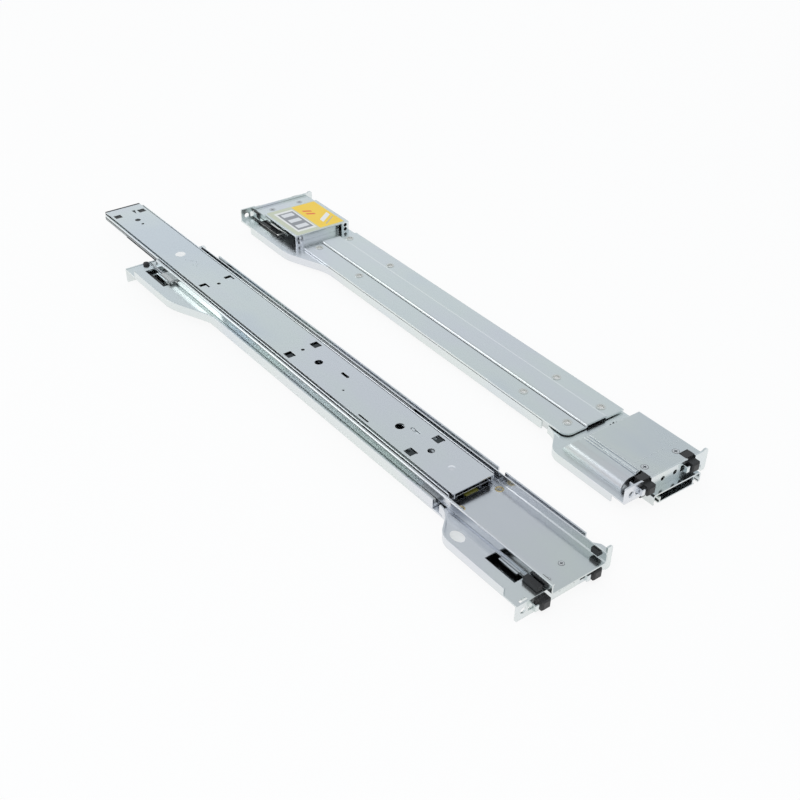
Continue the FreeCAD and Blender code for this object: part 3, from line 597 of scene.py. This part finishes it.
# middle member: rolled rims on its walls, dark raceway lines painted as the shadow in the gaps along the walls, and
# dark teeth painted as the shaded toothed retainer strip at the rear
race = {
    "front": 4.0,
    "rear": -676.0,
    "inner": 25.1,
    "outer": 26.3,
    "rimLevels": (9.2, 10.9),
    "lines": ((5.2, 6.2), (7.0, 8.5)),
    "lineProud": 0.06,
    "teeth": (-616.0, -476.0, 1.7),  # start, stop, pitch
    "toothShare": 0.5,
    "toothLevels": (3.9, 5.0),
    "toothProud": 0.35,
}


def makeRaceRims(side):
    shift = slideRest[side]
    front, rear, outer = race["front"] + shift, race["rear"] + shift, race["outer"]
    build = bmesh.new()
    for sign in (-1, 1):
        strip(build, rear, front, *sorted((sign * race["inner"], sign * outer)), *race["rimLevels"])
    carried("raceRims", side, "middle_member", finishMesh("rims", build), slideZincAndHighlight, smooth=False)
    # near-black strips: painted shadow lines in the raceway gaps and painted shaded retainer teeth
    build = bmesh.new()
    start, stop, pitch = race["teeth"]
    for sign in (-1, 1):
        near, far = sorted((sign * outer, sign * (outer + race["lineProud"])))
        for levels in race["lines"]:
            strip(build, rear, front, near, far, *levels)
        near, far = sorted((sign * outer, sign * (outer + race["toothProud"])))
        for i in range(int((stop - start) / pitch)):
            x = start + i * pitch + shift
            strip(build, x, x + pitch * race["toothShare"], near, far, *race["toothLevels"])
    carried("raceLines", side, "middle_member", finishMesh("lines", build), gapMetal, smooth=False)


# thin moulded buffer across the slide's rear end
rearBuffer = {"rear": -679.9, "thick": 2.6, "half": 23.6, "corner": 1.2, "levels": (5.0, 11.75)}


def makeRearBuffer(side):
    rear, half = rearBuffer["rear"] + slideRest[side], rearBuffer["half"]
    build = bmesh.new()
    plate(build, rounded(rear - rearBuffer["thick"], -half, rear, half, rearBuffer["corner"], 3),
          *rearBuffer["levels"], 0.3)
    carried("rearBuffer", side, "inner_member", finishMesh("buffer", build), blackPlasticAndShade,
            slotName="black_plastic", smooth=False)


# painted shadow: dark plates in the two front pairs of windows, lying on the bent tabs
windowBacks = {"centres": (-263.6, -61.6), "offset": 16.0, "rear": -2.3, "front": 3.4, "half": 3.6, "corner": 0.6,
               "levels": (10.28, 10.42)}


def makeWindowShadows(side):
    build = bmesh.new()
    half = windowBacks["half"]
    for x in windowBacks["centres"]:
        for y in (-windowBacks["offset"], windowBacks["offset"]):
            rear, front = (x + slideRest[side] + windowBacks[end] for end in ("rear", "front"))
            plate(build, rounded(rear, y - half, front, y + half, windowBacks["corner"], 3),
                  *windowBacks["levels"], 0.04)
    carried("windowBacks", side, "inner_member", finishMesh("shadowPlates", build), gapMetal, smooth=False)


for side in rails:
    makeWindowShadows(side)
    makeWebMarks(side)
    makeRaceRims(side)
    makeRearBuffer(side)
print("stamped marks and slide rims made")


# bare paper stickers on the left rail: an oval one on the flare, a round one on the slide
stickers = {  # node, x, y, z, half length, half width
    "oval": ("front_bracket", -90.0, -46.0, 0.0, 8.0, 5.4),
    "round": ("inner_member", -656.0, -1.0, 11.5, 6.0, 6.0),
}
paperThick = 0.12
for name, (node, x, y, z, halfLength, halfWidth) in stickers.items():
    build = bmesh.new()
    plate(build, ellipse(x, y, halfLength, halfWidth), z, z + paperThick, 0.05)
    carried(name + "Sticker", "left", node, finishMesh("sticker", build), whitePaperAndPaintedLight, slotName=None, smooth=False)


# printed label on the right rail's rear latch box: plain panels and simple shapes
label = {
    "rear": -655.0,
    "front": -580.5,
    "left": -38.5,
    "right": 32.0,
    "corner": 2.5,
    "level": -15.5,
    "paper": ((0.58, 0.61, 0.47), (0.52, 0.56, 0.41)),
    # plain fields: left, right, rear and front edge as shares of the label, then colour
    "fields": (
        ((0.09, 0.47, 0.10, 0.90), (0.80, 0.80, 0.78)),
        ((0.13, 0.44, 0.16, 0.84), (0.26, 0.27, 0.29)),
        ((0.17, 0.40, 0.20, 0.32), (0.72, 0.73, 0.75)),
        ((0.17, 0.40, 0.43, 0.55), (0.72, 0.73, 0.75)),
        ((0.17, 0.40, 0.66, 0.78), (0.72, 0.73, 0.75)),
        ((0.50, 0.985, 0.03, 0.97), (0.93, 0.62, 0.035)),
    ),
    # slanted bars: middle across and along, slope, half width and half reach, then colour
    "bars": (
        ((0.66, 0.30, 0.5, 0.028, 0.07), (0.80, 0.13, 0.02)),
        ((0.66, 0.42, 0.5, 0.028, 0.07), (0.80, 0.13, 0.02)),
        ((0.80, 0.66, -0.7, 0.055, 0.13), (0.82, 0.82, 0.80)),
        ((0.80, 0.80, -0.7, 0.012, 0.13), (0.45, 0.44, 0.40)),
    ),
}


def labelFinish():
    finish = Finish("labelPrint")
    spot = finish.add("ShaderNodeSeparateXYZ", {}, {0: finish.add("ShaderNodeTexCoord", output="UV")})
    across, along = (Value(finish, spot.socket.node.outputs[axis]) for axis in "XY")

    def field(x0, x1, y0, y1):
        return (across > x0) * (across < x1) * (along > y0) * (along < y1)

    def bar(x, y, slope, half, reach):
        offset = along - y - (across - x) * slope
        return (offset > -half) * (offset < half) * (across > x - reach) * (across < x + reach)

    grain = finish.noise(700.0, 2.0)
    colour = finish.blend(grain * 0.3, *label["paper"])
    for edges, tone in label["fields"]:
        colour = finish.blend(field(*edges), colour, tone)
    for form, tone in label["bars"]:
        colour = finish.blend(bar(*form), colour, tone)
    return finish.shell(Base_Color=colour, Roughness=0.34 + (grain - 0.5) * 0.08, Coat_Weight=0.1)


def makeLabel():
    build = bmesh.new()
    plate(build, rounded(label["rear"], label["left"], label["front"], label["right"], label["corner"]),
          label["level"], label["level"] - paperThick, 0.05)
    uv = build.loops.layers.uv.new("print")
    for face in build.faces:
        for loop in face.loops:
            x, y = loop.vert.co.x, loop.vert.co.y
            loop[uv].uv = ((y - label["left"]) / (label["right"] - label["left"]),
                           (x - label["rear"]) / (label["front"] - label["rear"]))
    carried("boxLabel", "right", "rear_latch_box", finishMesh("label", build), labelFinish(),
            slotName=None, smooth=False)


makeLabel()
print("stickers and label made")


# rear latch: moulded knob beside the channel, a dark plate painted as the shade in the finger pocket, bent wire lip
# along its window
rearGrip = {
    "knob": (-676.5, -36.4, -0.4),
    "knobForm": ((0, 3.0), (2.59, 3.0), (3.441, 2.5), (3.7, 1.6), (3.7, 0), (0, 0)),
    "pocket": (-664.0, -46.8, -616.2, -38.6),
    "pocketCorner": 1.0,
    "pocketLevels": (-5.3, -4.6),
    "lip": ((-667.0, -31.2), (-633.0, -31.2), (-630.5, -32.4), (-630.0, -34.5)),
    "lipLevel": 0.9,
    "lipRadius": 0.75,
}


def makeRearGrip(side):
    build = bmesh.new()
    turned(build, rearGrip["knobForm"], *rearGrip["knob"])
    carried("latchKnob", side, "rear_bracket", finishMesh("knob", build), blackPlasticAndShade, slotName="black_plastic")
    # dark plate painted as the shade inside the finger pocket
    build = bmesh.new()
    plate(build, rounded(*rearGrip["pocket"], rearGrip["pocketCorner"], 3), *rearGrip["pocketLevels"], 0.2)
    carried("pocketFloor", side, "rear_bracket", finishMesh("pocket", build), blackPlasticAndShade,
            slotName="black_plastic", smooth=False)
    lip = wire("lip", [(x, y, rearGrip["lipLevel"]) for x, y in rearGrip["lip"]], rearGrip["lipRadius"])
    carried("windowLip", side, "rear_bracket", lip, wireMetal, slotName="spring_steel")


for side in rails:
    makeRearGrip(side)
print("rear grips made")


# pale floor, soft light and the camera
studio = {
    "floorTone": (0.90, 0.90, 0.90),
    "floorSize": 14.0,
    "floorGlow": (0.88, 0.8),  # how white the floor is to the camera and in reflections
    "worldStrength": 1.0,
    "lamps": {
        "keyLamp": ((0.9, -1.6, 2.2), (1.6, 1.6), 20.0),
        "backLamp": ((-1.6, 1.8, 1.6), (1.8, 1.0), 6.0),
        "sideLamp": ((-1.9, -1.6, 1.4), (1.3, 0.6), 5.0),
    },
    # sky tones from the horizon up
    "sky": [(0.0, (1.0, 1.0, 1.0)), (0.2, (0.98, 0.99, 1.0)), (0.40, (0.74, 0.79, 0.84)),
            (0.57, (0.64, 0.685, 0.715)), (0.72, (0.58, 0.61, 0.63)), (1.0, (0.72, 0.74, 0.76))],
}


def makeFloor():
    bpy.ops.mesh.primitive_plane_add(size=studio["floorSize"], location=(0, 0, 0))
    floor = bpy.context.object
    floor.name = "studioFloor"
    finish = Finish("floorPaint")
    ray = finish.add("ShaderNodeLightPath").socket.node
    seen, mirrored = (Value(finish, ray.outputs[name]) for name in ("Is Camera Ray", "Is Glossy Ray"))
    finish.shell(Base_Color=studio["floorTone"], Roughness=0.6, Specular_IOR_Level=0.1)
    glow = finish.add("ShaderNodeEmission", {}, {"Color": (1, 1, 1), "Strength": 1.0})
    direct, reflected = studio["floorGlow"]
    mix = finish.add("ShaderNodeMixShader", {}, {0: seen * direct + mirrored * reflected,
                                                1: Value(finish, finish.surface.outputs[0]), 2: glow})
    finish.join(mix, finish.nodes["Material Output"].inputs[0])
    floor.data.materials.append(finish.material)


def makeWorld():
    world = bpy.data.worlds.new("studioWorld")
    bpy.context.scene.world = world
    world.use_nodes = True
    sky = Tree(world.node_tree)
    sky.nodes.clear()
    spot = sky.add("ShaderNodeSeparateXYZ", {}, {0: sky.add("ShaderNodeTexCoord", output="Generated")}, "Z")
    tone = sky.add("ShaderNodeValToRGB", {"stops": studio["sky"]}, {"Fac": spot}, "Color")
    plain = sky.add("ShaderNodeBackground", {}, {"Color": tone, "Strength": studio["worldStrength"]})
    white = sky.add("ShaderNodeBackground", {}, {"Color": (1, 1, 1), "Strength": 1.0})
    seen = sky.add("ShaderNodeLightPath", output="Is Camera Ray")
    mix = sky.add("ShaderNodeMixShader", {}, {0: seen, 1: plain, 2: white})
    sky.add("ShaderNodeOutputWorld", {}, {0: mix}, output=None)


def makeLamp(name, place, size, power):
    lamp = bpy.data.lights.new(name, "AREA")
    lamp.shape = "RECTANGLE"
    lamp.size, lamp.size_y = size
    lamp.energy = power
    holder = bpy.data.objects.new(name, lamp)
    bpy.context.scene.collection.objects.link(holder)
    holder.location = place
    holder.visible_glossy = name == "sideLamp"  # long bends catch this lamp, flat sheet mirrors the sky
    holder.rotation_euler = (-Vector(place)).to_track_quat("-Z", "Y").to_euler()


view = {"heading": (-0.7897, 0.6135), "pitch": 34.8, "roll": -1.0, "focal": 1106.0, "frame": 800.0,
        "foot": (426.0, -510.0, 618.5)}


def makeCamera():
    camera = bpy.data.cameras.new("camera")
    camera.sensor_width = 36.0
    camera.lens = 36.0 * view["focal"] / view["frame"]
    camera.clip_start = 0.01
    holder = bpy.data.objects.new("camera", camera)
    bpy.context.scene.collection.objects.link(holder)
    pitch, roll = math.radians(view["pitch"]), math.radians(view["roll"])
    cx, cy = view["heading"]
    ahead = Vector((cx * math.cos(pitch), cy * math.cos(pitch), -math.sin(pitch)))
    right = Vector((cy, -cx, 0)).normalized()
    down = ahead.cross(right)
    tilted = right * math.cos(roll) + down * math.sin(roll)
    lower = down * math.cos(roll) - right * math.sin(roll)
    turn = Matrix((tilted, -lower, -ahead)).transposed().to_4x4()
    holder.matrix_world = Matrix.Translation(rails["left"] @ Vector(view["foot"])) @ turn
    bpy.context.scene.camera = holder


makeFloor()
makeWorld()
for name, (place, size, power) in studio["lamps"].items():
    makeLamp(name, place, size, power)
makeCamera()
bpy.context.scene.view_settings.view_transform = "Standard"
print("studio ready")
